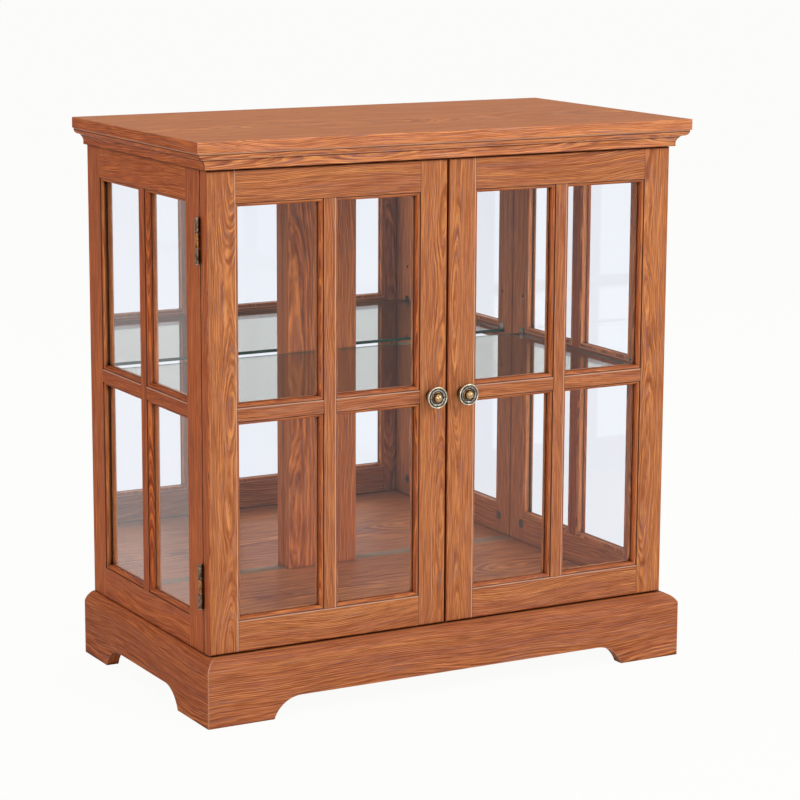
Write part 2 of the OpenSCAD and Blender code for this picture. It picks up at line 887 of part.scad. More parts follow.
// The knob turned about its axis: base, neck, dished back, ringed face and dome
module knob_outline() {
  difference() {
    union() {
      square([knob_base_r, knob_base_h]);
      polygon([
        [0, knob_base_h], [knob_base_r, knob_base_h], [knob_neck_r, knob_base_top],
        [0, knob_base_top]
      ]);
      square([knob_neck_r, knob_rim_low]);
      polygon([
        [0, knob_neck_top], [knob_neck_r, knob_neck_top],
        [knob_r - knob_rim_bead, knob_rim_low], [knob_r - knob_rim_bead, knob_face],
        [0, knob_face]
      ]);
      translate([knob_r - knob_rim_bead, knob_rim_low])
        square([knob_rim_bead, knob_rim_top - knob_rim_low - knob_rim_bead]);
      translate([knob_r - knob_rim_bead, knob_rim_top - knob_rim_bead]) circle(knob_rim_bead);
      translate([knob_ring_at, knob_face]) circle(knob_ring_r);
      translate([knob_collar_at, knob_face]) circle(knob_collar_r);
      square([knob_dome_r, knob_out - knob_dome_r]);
      translate([0, knob_out - knob_dome_r]) circle(knob_dome_r);
    }
    translate([-knob_r, -knob_r]) square([knob_r, knob_r + 2 * knob_out]);
    square([knob_screw_r + fit_gap, knob_screw_in + fit_gap]);
  }
}

module left_door_knob() color(pewter)
  translate([-knob_x, door_y, knob_z]) rotate([90, 0, 0]) rotate_extrude() knob_outline();

module left_door_hinge_leaves() color(old_brass) for (z = hinge_zs)
  translate([0, 0, z]) door_leaf();

module left_door_screws() color(steel) {
  for (z = hinge_zs) for (p = screw_places)
    translate([-screw_x(p), case_y - hinge_room + leaf_t, z + p[1] * hinge_h])
      rotate([90, 0, 0]) wood_screw();
  translate([-knob_x, door_y - knob_screw_in, knob_z])
    round_y(knob_screw_r, door_t + knob_screw_in);
  translate([-knob_x, door_y + door_t, knob_z]) round_y(knob_head_r, knob_head_h);
}

module left_door_strike() color(steel)
  translate([-strike_x - strike_w, door_y + door_t, rail_z - strike_drop - strike_h])
    cube([strike_w, strike_t, strike_h]);

module right_door_hinge_stile() on_right() left_door_hinge_stile();

module right_door_meeting_stile() on_right() left_door_meeting_stile();

module right_door_top_rail() on_right() left_door_top_rail();

module right_door_bottom_rail() on_right() left_door_bottom_rail();

module right_door_bars() on_right() left_door_bars();

module right_door_glass() on_right() left_door_glass();

module right_door_glazing_stops() on_right() left_door_glazing_stops();

module right_door_knob() on_right() left_door_knob();

module right_door_hinge_leaves() on_right() left_door_hinge_leaves();

module right_door_screws() on_right() left_door_screws();

module right_door_strike() on_right() left_door_strike();

plinth_front();
plinth_left();
plinth_right();
plinth_back();
corner_blocks();
floor_panel();
left_side_front_stile();
left_side_rear_stile();
left_side_top_rail();
left_side_bottom_rail();
left_side_bars();
left_side_glass();
right_side_front_stile();
right_side_rear_stile();
right_side_top_rail();
right_side_bottom_rail();
right_side_bars();
right_side_glass();
side_glazing_stops();
front_top_rail();
head_rail();
top_panel();
centre_post();
mirror_left();
mirror_right();
back_boards();
top_board();
crown_front();
crown_left();
crown_right();
glass_shelf();
shelf_clips();
cam_fittings();
case_hinge_leaves();
hinge_pins();
case_hinge_screws();
magnetic_catch();
left_door_hinge_stile();
left_door_meeting_stile();
left_door_top_rail();
left_door_bottom_rail();
left_door_bars();
left_door_glass();
left_door_glazing_stops();
left_door_knob();
left_door_hinge_leaves();
left_door_screws();
left_door_strike();
right_door_hinge_stile();
right_door_meeting_stile();
right_door_top_rail();
right_door_bottom_rail();
right_door_bars();
right_door_glass();
right_door_glazing_stops();
right_door_knob();
right_door_hinge_leaves();
right_door_screws();
right_door_strike();
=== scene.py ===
"""Display cabinet: looks, floor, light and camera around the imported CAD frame.

Lengths are in metres. The front faces -Y and Z is up.
"""
import itertools
import math

import bmesh
import bpy
from mathutils import Euler, Matrix, Vector


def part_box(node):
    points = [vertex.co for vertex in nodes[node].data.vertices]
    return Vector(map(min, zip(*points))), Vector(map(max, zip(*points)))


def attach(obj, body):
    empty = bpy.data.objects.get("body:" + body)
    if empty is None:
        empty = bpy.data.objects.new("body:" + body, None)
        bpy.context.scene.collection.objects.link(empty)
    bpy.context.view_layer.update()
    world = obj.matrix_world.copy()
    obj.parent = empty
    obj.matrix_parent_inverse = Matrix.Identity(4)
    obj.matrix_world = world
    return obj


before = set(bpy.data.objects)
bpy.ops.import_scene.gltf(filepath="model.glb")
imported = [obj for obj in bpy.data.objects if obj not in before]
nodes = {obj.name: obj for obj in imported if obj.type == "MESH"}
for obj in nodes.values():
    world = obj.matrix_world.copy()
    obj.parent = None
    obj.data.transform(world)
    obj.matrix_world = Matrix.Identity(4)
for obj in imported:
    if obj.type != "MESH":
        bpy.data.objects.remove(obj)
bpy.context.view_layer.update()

# Node helpers

WHITE = (1.0, 1.0, 1.0)
BLACK = (0.0, 0.0, 0.0)


class Tree:
    """A few calls that keep shader node code short."""

    def __init__(self, tree):
        self.tree = tree

    def add(self, kind, **settings):
        node = self.tree.nodes.new(kind)
        for key, value in settings.items():
            setattr(node, key, value)
        return node

    def put(self, value, socket):
        """Links a socket to another one, or sets it to a number or a colour."""
        if isinstance(value, bpy.types.NodeSocket):
            self.tree.links.new(value, socket)
        elif value is not None:
            if socket.type == "RGBA" and len(value) == 3:
                value = (*value, 1.0)
            socket.default_value = value

    def math(self, operation, a, b=None, c=None, clamp=False):
        node = self.add("ShaderNodeMath", operation=operation, use_clamp=clamp)
        for i, value in enumerate((a, b, c)):
            self.put(value, node.inputs[i])
        return node.outputs[0]

    def vector(self, operation, a, b):
        node = self.add("ShaderNodeVectorMath", operation=operation)
        self.put(a, node.inputs[0])
        self.put(b, node.inputs[1])
        return node.outputs[0]

    def split(self, vector):
        """The X, Y and Z of a vector."""
        node = self.add("ShaderNodeSeparateXYZ")
        self.put(vector, node.inputs[0])
        return node.outputs[:3]

    def join(self, *values):
        """A vector of an X, a Y and a Z."""
        node = self.add("ShaderNodeCombineXYZ")
        for i, value in enumerate(values):
            self.put(value, node.inputs[i])
        return node.outputs[0]

    def noise(self, vector, scale, detail=2.0, rough=0.5, output=0):
        """Noise at a place in space stretched by the three numbers of scale."""
        node = self.add("ShaderNodeTexNoise")
        self.put(self.vector("MULTIPLY", vector, scale), node.inputs["Vector"])
        node.inputs["Scale"].default_value = 1.0
        node.inputs["Detail"].default_value = detail
        node.inputs["Roughness"].default_value = rough
        return node.outputs[output]

    def ramp(self, factor, stops):
        """The colours of stops, each at its place from 0 to 1."""
        node = self.add("ShaderNodeValToRGB")
        elements = node.color_ramp.elements
        while len(elements) < len(stops):
            elements.new(0.5)
        for element, (place, colour) in zip(elements, stops):
            element.position = place
            element.color = (*colour, 1.0)
        self.put(factor, node.inputs[0])
        return node.outputs[0]

    def mix(self, factor, a, b, blend="MIX"):
        node = self.add("ShaderNodeMix", data_type="RGBA", blend_type=blend)
        self.put(factor, node.inputs[0])
        self.put(a, node.inputs[6])
        self.put(b, node.inputs[7])
        return node.outputs[2]

    def times(self, colour, tint):
        """A colour multiplied by another."""
        return self.mix(1.0, colour, tint, "MULTIPLY")

    def remap(self, value, low, high, to_low, to_high):
        node = self.add("ShaderNodeMapRange")
        for i, number in enumerate((value, low, high, to_low, to_high)):
            self.put(number, node.inputs[i])
        return node.outputs[0]

    def rise(self, value, start, full, most):
        """0 where value is short of start, growing to most at full and past it."""
        return self.remap(value, start, full, 0.0, most)

    def openness(self, reach, samples, inside=False):
        """How open the place is, from 0 in a corner to 1, looking as far as reach."""
        node = self.add("ShaderNodeAmbientOcclusion", samples=samples, inside=inside)
        node.inputs["Distance"].default_value = reach
        return node.outputs["AO"]

    def bump(self, height, strength, distance):
        node = self.add("ShaderNodeBump")
        node.inputs["Strength"].default_value = strength
        node.inputs["Distance"].default_value = distance
        self.put(height, node.inputs["Height"])
        return node.outputs[0]

    def own_place(self):
        """The place on the piece itself, so that its figure moves with it."""
        return self.add("ShaderNodeTexCoord").outputs["Object"]

    def shader(self, kind, colour, strength=None):
        """A plain shader with a colour and, where it glows, a strength."""
        node = self.add(kind)
        self.put(colour, node.inputs[0])
        if strength is not None:
            self.put(strength, node.inputs[1])
        return node.outputs[0]

    def blend(self, factor, a, b):
        """Shader a where factor is 0, and b where it is 1."""
        node = self.add("ShaderNodeMixShader")
        for i, value in enumerate((factor, a, b)):
            self.put(value, node.inputs[i])
        return node.outputs[0]

    def principled(self, **values):
        """The main shader, with spaces for the underscores in the names of its inputs."""
        node = self.add("ShaderNodeBsdfPrincipled")
        for key, value in values.items():
            self.put(value, node.inputs[key.replace("_", " ")])
        return node.outputs[0]

    def finish(self, shader):
        self.put(shader, self.add("ShaderNodeOutputMaterial").inputs["Surface"])


def srgb(r, g, b):
    """A colour written as it shows on screen, 0 to 255, as linear light."""
    return tuple(
        c / 12.92 if c <= 0.04045 else ((c + 0.055) / 1.055) ** 2.4
        for c in (r / 255, g / 255, b / 255)
    )


def new_material(name):
    mat = bpy.data.materials.new(name)
    mat.use_nodes = True
    mat.node_tree.nodes.clear()
    return mat, Tree(mat.node_tree)


# Colours of the oak, from its late wood and ground to its early wood, pores and haze

GOLD = srgb(222, 146, 80)
HONEY = srgb(202, 124, 70)
ROSE = srgb(172, 100, 74)
RUST = srgb(138, 72, 46)
PORE = srgb(112, 62, 48)
DUSK = srgb(148, 116, 110)

# Pale edges, partly wear and partly a painted highlight; the painted shadow in a moulding's corner,
# which is also the dark line of a mitre joint; and the painted light on a sharp arris

PALE_WEAR_AND_HIGHLIGHT = srgb(226, 172, 140)
CREASE_SHADE_AND_JOINT = srgb(74, 34, 22)
GLINT = srgb(242, 204, 180)

# How often each part of the figure changes in a metre: along the board, then across it

WANDER = (3.4, 1.2, 1.2)
SWAY = (2.4, 26.0, 26.0)
RIPPLE = (60.0, 150.0, 150.0)
UNEVEN = (6.0, 60.0, 60.0)
CLEAR = (2.4, 34.0, 34.0)
BAND = (1.8, 80.0, 80.0)
FIBRE = (7.0, 900.0, 60.0)
THREAD = (20.0, 1100.0, 90.0)
PORES = (30.0, 900.0, 900.0)
HAZE = (11.0, 1100.0, 90.0)

# How far the trunk drifts off its line, and its rings

WANDER_REACH = 0.036
SWAY_REACH = 0.0030
RIPPLE_REACH = 0.0009
NOISE_MIDDLE = (0.5, 0.5, 0.5)
RINGS_PER_M = 520.0
RING_UNEVEN = 2.4
RING_STOPS = (
    (0.00, RUST), (0.22, ROSE), (0.42, HONEY), (0.70, GOLD), (0.86, HONEY), (1.00, RUST),
)

# How clearly the rings show: a range of noise, and the shares that it stands for

CLEAR_NOISE = (0.36, 0.64)
CLEAR_SHARES = (0.30, 0.68)

# Where in its noise a layer starts, where it is full, and its share there

ROSE_BAND = (0.48, 0.68, 0.35)
GOLD_BAND = (0.42, 0.26, 0.40)
PORE_LAYER = (0.54, 0.66, 0.75)
HAZE_LAYER = (0.56, 0.68, 0.50)

# Pores are thick in the early wood of a ring and thin in the rest

EARLY_WOOD = (0.05, 0.50)
PORE_SHARES = (1.0, 0.35)

# Fine lines, as stops of a ramp that multiplies the colour

FIBRE_TINTS = ((0.32, (0.78, 0.72, 0.70)), (0.68, (1.20, 1.26, 1.32)))
THREAD_TINTS = ((0.38, (0.76, 0.68, 0.68)), (0.60, (1.22, 1.28, 1.30)))
FIBRE_HEIGHT = 0.35


def grain_group():
    """Oak cut from a trunk that runs along X of the vector that comes in."""
    group = bpy.data.node_groups.new("oak_grain", "ShaderNodeTree")
    group.interface.new_socket("Vector", in_out="INPUT", socket_type="NodeSocketVector")
    group.interface.new_socket("Color", in_out="OUTPUT", socket_type="NodeSocketColor")
    group.interface.new_socket("Height", in_out="OUTPUT", socket_type="NodeSocketFloat")
    t = Tree(group)
    vector = t.add("NodeGroupInput").outputs[0]
    out = t.add("NodeGroupOutput")

    def drift(scale, reach):
        """A slow drift of the trunk off its line, up to about a quarter of reach each way."""
        off = t.vector("SUBTRACT", t.noise(vector, scale, detail=1.0, output=1), NOISE_MIDDLE)
        return t.vector("MULTIPLY", off, (0.0, reach, reach))

    # the trunk wanders, so that rings come out of a face as nested arches
    v = t.vector("ADD", vector, drift(WANDER, WANDER_REACH))
    v = t.vector("ADD", v, drift(SWAY, SWAY_REACH))
    v = t.vector("ADD", v, drift(RIPPLE, RIPPLE_REACH))
    x, y, z = t.split(v)
    radius = t.math("SQRT", t.math("ADD", t.math("MULTIPLY", y, y), t.math("MULTIPLY", z, z)))
    uneven = t.math("MULTIPLY", t.noise(v, UNEVEN, detail=1.0), RING_UNEVEN)
    ring = t.math("FRACT", t.math("MULTIPLY_ADD", radius, RINGS_PER_M, uneven))
    clear = t.remap(t.noise(v, CLEAR, detail=1.0), *CLEAR_NOISE, *CLEAR_SHARES)
    colour = t.mix(clear, HONEY, t.ramp(ring, RING_STOPS))

    # bands that are redder or more golden, along the board
    band = t.noise(v, BAND)
    colour = t.mix(t.rise(band, *ROSE_BAND), colour, ROSE)
    colour = t.mix(t.rise(band, *GOLD_BAND), colour, GOLD)

    # fibre, thread and grey haze follow the rings, and the open pores follow the board
    contour = t.join(x, radius, z)
    fibre = t.noise(contour, FIBRE, rough=0.7)
    colour = t.times(colour, t.ramp(fibre, FIBRE_TINTS))
    thread = t.noise(contour, THREAD, detail=1.0, rough=0.6)
    colour = t.times(colour, t.ramp(thread, THREAD_TINTS))
    pores = t.rise(t.noise(v, PORES, rough=0.55), *PORE_LAYER)
    early = t.remap(ring, *EARLY_WOOD, *PORE_SHARES)
    dark = t.math("MULTIPLY", pores, early, clamp=True)
    colour = t.mix(dark, colour, PORE)
    colour = t.mix(t.rise(t.noise(contour, HAZE), *HAZE_LAYER), colour, DUSK)
    t.put(colour, out.inputs["Color"])

    height = t.math("MULTIPLY_ADD", dark, -1.0, t.math("MULTIPLY", fibre, FIBRE_HEIGHT))
    t.put(height, out.inputs["Height"])
    return group


# One board: where the heart of its trunk lies under the face, and how that varies by board

HEART_DEPTH = 0.026
DEPTH_SPREAD = 0.016
DEPTH_STEP = 0.618
ASIDE_SPREAD = 0.012
ASIDE_STEP = 0.414
BOARD_STEP = 1.7

# Lines that are drawn on a board: half their width, where they end, and their strength

LINE_HALF = 0.00040
LINE_SOFT = 0.00110
MITRE_SOFT = 0.0016
DARK_LINE = 0.75
PALE_LINE = 0.46
MITRE_LINE = 0.80
SEAM_SHARE = 0.34

# Painted shade in nooks and in the gaps behind the doors: how far to look, how dark they get, and how
# open they are where darkest and where gone

NOOK = (0.006, 0.22, 0.30, 0.84)
GAP = (0.012, 0.02, 0.66, 0.95)
NOOK_WARMTH = (1.0, 0.8, 0.7)
# Pale edges, partly wear and partly a painted highlight: how far to look, and how open it is where they
# start and where they are full
EDGE_REACH = 0.0014
EDGE_START = 0.88
EDGE_FULL = 0.45

# The lacquer, duller in the pores than on the ridges

LACQUER_IOR = 1.45
LACQUER_ROUGH = 0.46
PORE_DULLER = 0.12
RIDGE_SHARPER = 0.04
GRAIN_HEIGHTS = (-0.8, 0.4)
GRAIN_BUMP = 0.3
GRAIN_RELIEF = 0.0002

AXES = {"X": Vector((1, 0, 0)), "Y": Vector((0, 1, 0)), "Z": Vector((0, 0, 1))}
TURN = {"X": (0.0, 0.0, 0.0), "Y": (0.0, 0.0, -math.pi / 2), "Z": (0.0, math.pi / 2, 0.0)}
GRAIN = grain_group()
board_numbers = itertools.count(1)


def middle_of(name):
    lo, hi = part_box(name)
    return (Vector(lo) + Vector(hi)) / 2


def nearest(t, where, letter, places):
    """How far a point is, along one axis, from the nearest of some places."""
    along = t.split(where)["XYZ".index(letter)]
    near = None
    for place in places:
        gap = t.math("ABSOLUTE", t.math("SUBTRACT", along, place))
        near = gap if near is None else t.math("MINIMUM", near, gap)
    return near


def from_mitre(t, where, corner):
    """How far a point is from the mitres behind a moulding's two front corners."""
    x, y, _ = t.split(where)
    past_end = t.math("SUBTRACT", t.math("ABSOLUTE", x), corner[0])
    behind_front = t.math("ADD", y, corner[1])
    return t.math("ABSOLUTE", t.math("ADD", past_end, behind_front))


def draw(t, colour, near, ink, strength, soft=LINE_SOFT):
    """A line of ink where near is about 0, fading out at soft."""
    return t.mix(t.remap(near, LINE_HALF, soft, strength, 0.0), colour, ink)


def oak(name, axis, normal, tint, lines=(), aside=0.050, deep=0.0, size=1.10, gloss=0.03,
        centre=None, nook=NOOK, dark=(), pale=(), mitre=None, wear_and_highlight=0.48, calm=0.0):
    """Lacquered oak for one board: its grain along axis, its face towards normal.

    The heart of the trunk lies under the face, deep and aside of the board's middle, where a
    small aside brings arches. A larger size makes the grain coarser. lines are places along
    the grain where a joint shows. dark and pale list an axis letter and the places on it of
    the painted shade in moulding corners and of the painted highlights on arrises. mitre is a
    mitred moulding's outer corner, as its X and how far it stands out to the front. nook sets
    the painted shade in corners and gaps. worn is how pale the edges are, partly wear and
    partly a painted highlight, and calm how much of the figure is left out."""
    number = next(board_numbers)
    mat, t = new_material(f"oak_{number}")
    turn = Euler(TURN[axis]).to_matrix()
    depth = HEART_DEPTH + DEPTH_SPREAD * ((number * DEPTH_STEP) % 1.0) + deep
    sideways = aside + ASIDE_SPREAD * (((number * ASIDE_STEP) % 1.0) - 0.5)
    if number % 2 == 0:
        sideways = -sideways
    away = turn @ (AXES[normal] * depth + AXES[axis].cross(AXES[normal]) * sideways)
    middle = turn @ Vector(centre or middle_of(name)) / size
    where = t.own_place()
    place = t.add("ShaderNodeMapping")
    t.put(where, place.inputs["Vector"])
    place.inputs["Scale"].default_value = (1 / size,) * 3
    place.inputs["Rotation"].default_value = TURN[axis]
    place.inputs["Location"].default_value = away - middle + Vector((BOARD_STEP * number, 0.0, 0.0))
    grain = t.add("ShaderNodeGroup", node_tree=GRAIN)
    t.put(place.outputs[0], grain.inputs[0])
    height = grain.outputs["Height"]
    colour = t.times(t.mix(calm, grain.outputs["Color"], HONEY), tint)

    # Pale edges, partly wear and partly a painted highlight on every arris
    edge = t.openness(EDGE_REACH, samples=4, inside=True)
    colour = t.mix(t.rise(edge, EDGE_START, EDGE_FULL, wear_and_highlight), colour, PALE_WEAR_AND_HIGHLIGHT)
    # Painted shade in the corners of mouldings
    for letter, places in dark:
        colour = draw(t, colour, nearest(t, where, letter, places), CREASE_SHADE_AND_JOINT, DARK_LINE)
    # The dark joint line of a mitre
    if mitre:
        colour = draw(t, colour, from_mitre(t, where, mitre), CREASE_SHADE_AND_JOINT, MITRE_LINE, MITRE_SOFT)
    # Painted shade where the board is hemmed in: in corners, creases and gaps
    reach, deepest, low, high = nook
    shadow = tuple(deepest * share for share in NOOK_WARMTH)
    around = t.openness(reach, samples=5)
    colour = t.times(colour, t.ramp(around, ((low, shadow), (high, WHITE))))
    # Painted highlights on lit arrises
    for letter, places in pale:
        colour = draw(t, colour, nearest(t, where, letter, places), GLINT, PALE_LINE)
    if lines:
        seam = t.remap(nearest(t, where, axis, lines), LINE_HALF, LINE_SOFT, SEAM_SHARE, 1.0)
        colour = t.times(colour, t.ramp(seam, ((0.0, BLACK), (1.0, WHITE))))

    dull, sharp = LACQUER_ROUGH + PORE_DULLER, LACQUER_ROUGH - RIDGE_SHARPER
    t.finish(t.principled(
        Base_Color=colour, Roughness=t.remap(height, *GRAIN_HEIGHTS, dull, sharp),
        Normal=t.bump(height, GRAIN_BUMP, GRAIN_RELIEF), IOR=LACQUER_IOR, Specular_IOR_Level=gloss,
    ))
    return mat


# Glass, mirror, metal and paint


def glass(name, colour, ior, lets_light=0.97, rough=0.0, clear=1.0):
    """Clear glass that lets the lamps through, so that what is behind it is lit."""
    mat, t = new_material(name)
    solid = t.principled(Base_Color=colour, Roughness=rough, IOR=ior, Transmission_Weight=clear)
    open_to_light = t.shader("ShaderNodeBsdfTransparent", (lets_light,) * 3)
    shadow_ray = t.add("ShaderNodeLightPath").outputs["Is Shadow Ray"]
    t.finish(t.blend(shadow_ray, solid, open_to_light))
    return mat


PATINA_SCALE = 4
FINE_SCALE = 30
PATINA_NOISE = (0.35, 0.65)
METAL_NOOK = (0.45, 0.95, 1.0)
METAL_NOOK_REACH = 0.003
FINE_NOISE = (0.3, 0.7)
FINE_SHARPER = 0.06
FINE_DULLER = 0.10
METAL_BUMP = 0.2
METAL_RELIEF = 0.0001
COAT_ROUGH = 0.08


def metal(name, bright, dark, rough, spots=60.0, amount=0.5, coat=0.0):
    """Antiqued metal: a bright colour that shows where a darker patina is rubbed through."""
    mat, t = new_material(name)
    where = t.own_place()
    patina = t.noise(where, (spots * PATINA_SCALE,) * 3, detail=4.0, rough=0.6)
    fine = t.noise(where, (spots * FINE_SCALE,) * 3)
    bare = t.remap(patina, *PATINA_NOISE, 0.5 - amount, 0.5 + amount)
    out_of_nooks = t.rise(t.openness(METAL_NOOK_REACH, samples=5), *METAL_NOOK)
    bare = t.math("MULTIPLY", bare, out_of_nooks, clamp=True)
    t.finish(t.principled(
        Base_Color=t.mix(bare, dark, bright), Metallic=1.0,
        Roughness=t.remap(fine, *FINE_NOISE, rough - FINE_SHARPER, rough + FINE_DULLER),
        Normal=t.bump(fine, METAL_BUMP, METAL_RELIEF), Coat_Weight=coat, Coat_Roughness=COAT_ROUGH,
    ))
    return mat


SILVER = (0.97, 0.975, 0.985)
SILVER_SPOTS = (9.0, 9.0, 9.0)
SILVER_NOISE = (0.3, 0.8)
SILVER_ROUGH = 0.004


def silver_glass():
    mat, t = new_material("mirror")
    haze = t.noise(t.own_place(), SILVER_SPOTS, detail=3.0)
    rough = t.rise(haze, *SILVER_NOISE, SILVER_ROUGH)
    t.finish(t.principled(Base_Color=SILVER, Metallic=1.0, Roughness=rough))
    return mat


SPECKLE_NOISE = (0.3, 0.7)


def flat_paint(name, colour, rough, speckle=0.05, scale=500.0):
    """A dull colour that varies a little, by speckle."""
    mat, t = new_material(name)
    grain = t.noise(t.own_place(), (scale,) * 3, detail=3.0)
    shades = [tuple(c * share for c in colour) for share in (1 - speckle, 1 + speckle)]
    t.finish(t.principled(Base_Color=t.ramp(grain, tuple(zip(SPECKLE_NOISE, shades))), Roughness=rough))
    return mat


PANE = glass("pane_glass", (0.945, 0.963, 1.0), ior=1.33)
SHELF = glass("shelf_glass", (0.520, 0.518, 0.450), ior=1.14, lets_light=0.93)
EDGE = glass("cut_edge", (0.02, 0.14, 0.08), ior=1.14, lets_light=0.6, rough=0.2, clear=0.4)
MIRROR = silver_glass()
BRASS = metal("antique_brass", srgb(182, 126, 76), srgb(84, 54, 34), 0.30)
BRONZE = metal("aged_bronze", srgb(138, 118, 96), srgb(40, 30, 24), 0.30)
DOME = metal(
    "knob_dome", srgb(214, 176, 122), srgb(122, 88, 54), 0.20, spots=110.0, amount=0.3, coat=0.8
)
RIM = metal("knob_rim", srgb(236, 228, 204), srgb(150, 138, 116), 0.22, amount=0.4)
RING = metal("knob_ring", srgb(178, 174, 168), srgb(34, 34, 38), 0.24, amount=0.45)
BEAD = metal("knob_beads", srgb(196, 190, 178), srgb(70, 66, 62), 0.20, amount=0.45)
PEWTER = metal("dark_pewter", srgb(74, 70, 70), srgb(24, 22, 22), 0.30)
CLIP = metal("clip_pewter", srgb(150, 142, 126), srgb(44, 38, 32), 0.28)
STEEL = metal("plated_steel", srgb(176, 176, 176), srgb(140, 140, 142), 0.30, amount=0.3)
CAP = flat_paint("cam_cap", srgb(96, 72, 60), 0.45)
CATCH = flat_paint("catch_plastic", srgb(38, 33, 30), 0.5)
SHADE = flat_paint("pin_hole", srgb(44, 24, 17), 0.7)
PLY = flat_paint("plain_board", srgb(150, 112, 78), 0.7, speckle=0.12, scale=160.0)

# Tints that multiply the oak's colours, by the kind of board. The darker, redder tints of faces that
# look sideways, of mouldings and of the plinth's ends are painted shade, and the lighter tint of the
# right door's stiles is painted light

DOOR = (0.88, 0.90, 1.01)
LIT_DOOR = (0.91, 0.94, 1.03)
BAR = (0.85, 0.87, 1.02)
SHADED_SIDE = (0.90, 0.67, 0.60)
SHADED_SIDE_BAR = (0.84, 0.59, 0.52)
PLINTH = (0.82, 0.79, 0.91)
SHADED_PLINTH_SIDE = (0.79, 0.61, 0.58)
CROWN = (1.17, 1.26, 1.50)
SHADED_MOULDING = (0.88, 0.72, 0.68)
POST = (1.05, 0.87, 0.63)
INNER = (1.0, 0.98, 0.95)
TOP = (0.79, 0.79, 0.80)
TOP_EDGE = (1.16, 1.22, 1.40)


def wear(name, *materials):
    data = nodes[name].data
    data.materials.clear()
    for material in materials:
        data.materials.append(material)
    return data


def wear_by(name, choose, *materials):
    """Puts on each face the material whose number choose(face) gives."""
    for face in wear(name, *materials).polygons:
        face.material_index = choose(face)


# The glazed frames: half of a bar's flat, half of the whole bar, a tenon and a moulding's width

BAR_FLAT = 0.0095
BAR_REACH = 0.0151
TENON = 0.010
STICK = 0.0055

# How far a moulding's corner, with its painted shade, and its arris, with its painted highlight, lie
# from where the flat ends

IN_QUIRK = 0.0005
ON_ARRIS = 0.0006

# Faces on the flat, and faces that look mainly one way

FLAT_NORMAL = 0.8
FACING = 0.5

# The stiles of the doors show arches, finer and calmer than on the other boards

STILE_FIGURE = {"aside": 0.014, "size": 0.9, "calm": 0.12}


def shoulders(name, i):
    """Where a rail leaves the stiles, along axis i."""
    lo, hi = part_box(name)
    return [lo[i] + TENON, hi[i] - TENON]


def moulding_marks(name, letter, at_high, lit=True):
    """Lines along the moulded edge of a rail or stile, which is its high or its low one.

    A line of painted shade lies in the moulding's corner. A high edge that catches light has a painted
    highlight on its arris."""
    i = "XYZ".index(letter)
    lo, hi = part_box(name)
    flat_end = hi[i] - STICK if at_high else lo[i] + STICK
    corner = flat_end + IN_QUIRK if at_high else flat_end - IN_QUIRK
    marks = {"dark": [(letter, [corner])]}
    if at_high and lit:
        marks["pale"] = [(letter, [flat_end - ON_ARRIS])]
    return marks


def bar_marks(letter, middle, joints, lit=True):
    """Lines along a glazing bar: painted shade in the corner of each moulding, and a painted highlight
    on an arris if lit.
    """
    corner = BAR_FLAT + IN_QUIRK
    marks = {"lines": joints, "dark": [(letter, [middle - corner, middle + corner])]}
    if lit:
        marks["pale"] = [(letter, [middle + BAR_FLAT - ON_ARRIS])]
    return marks


def bar_joints(name, ends):
    """The joints of the upright bar, then of the level one."""
    lo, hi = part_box(name)
    middle = sum(ends) / 2
    upright = [lo[2] + TENON / 2, hi[2] - TENON / 2]
    return upright, ends + [middle - BAR_FLAT, middle + BAR_FLAT]


def off_flat(face):
    """0 on the flats of a door, and 1 on its mouldings and edges."""
    return int(abs(face.normal.y) <= FLAT_NORMAL)


def dress_door(side):
    """The frame of a door, whose joints show at the stiles' inner edges and at the bars."""
    door = f"{side}_door_"
    ends = shoulders(door + "top_rail", 0)
    middle = sum(ends) / 2
    for rail in ("top_rail", "bottom_rail"):
        name = door + rail
        marks = moulding_marks(name, "Z", rail == "bottom_rail")
        # Faces off the flat get the painted shade of a moulding
        wear_by(
            name, off_flat,
            oak(name, "X", "Y", DOOR, ends, **marks),
            oak(name, "X", "Y", SHADED_MOULDING, ends, **marks),
        )
    for stile in ("hinge_stile", "meeting_stile"):
        name = door + stile
        marks = moulding_marks(name, "X", (stile == "hinge_stile") == (side == "left"))
        # The right door's flats get painted light, and faces off the flat get painted shade
        wear_by(
            name, off_flat,
            oak(name, "Z", "Y", LIT_DOOR if side == "right" else DOOR, **STILE_FIGURE, **marks),
            oak(name, "Z", "Y", SHADED_SIDE, **marks),
        )

    def bar_part(face):
        crosswise = abs(face.center.x - middle) > BAR_REACH
        return 2 * crosswise + off_flat(face)

    name = door + "bars"
    up_joints, level_joints = bar_joints(name, ends)
    upright = bar_marks("X", middle, up_joints)
    level = bar_marks("Z", middle_of(name).z, level_joints)
    # Faces off the flat get painted shade
    wear_by(
        name, bar_part,
        oak(name, "Z", "Y", BAR, **upright), oak(name, "Z", "Y", SHADED_SIDE, **upright),
        oak(name, "X", "Y", BAR, **level), oak(name, "X", "Y", SHADED_MOULDING, **level),
    )


# The rows of shelf-pin holes: from the stile's outer edge, half a hole's width, and its depth

PIN_INSET = 0.037
PIN_REACH = 0.0028
PIN_SKIN = 0.0002
PIN_DEEP = 0.0092


def side_part(name, side):
    """Chooses outer faces, inner faces, faces to the front and the insides of pin holes."""
    lo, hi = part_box(name)
    outward = -1 if side == "left" else 1
    inner_x = min(abs(lo[0]), abs(hi[0]))
    pin_y = lo[1] + PIN_INSET if name.endswith("front_stile") else hi[1] - PIN_INSET

    def choose(face):
        in_row = name.endswith("stile") and abs(face.center.y - pin_y) < PIN_REACH
        if in_row and PIN_SKIN < abs(face.center.x) - inner_x < PIN_DEEP:
            return 3
        if face.normal.x * outward < -FACING:
            return 1
        return 2 if face.normal.y < -FACING else 0

    return choose


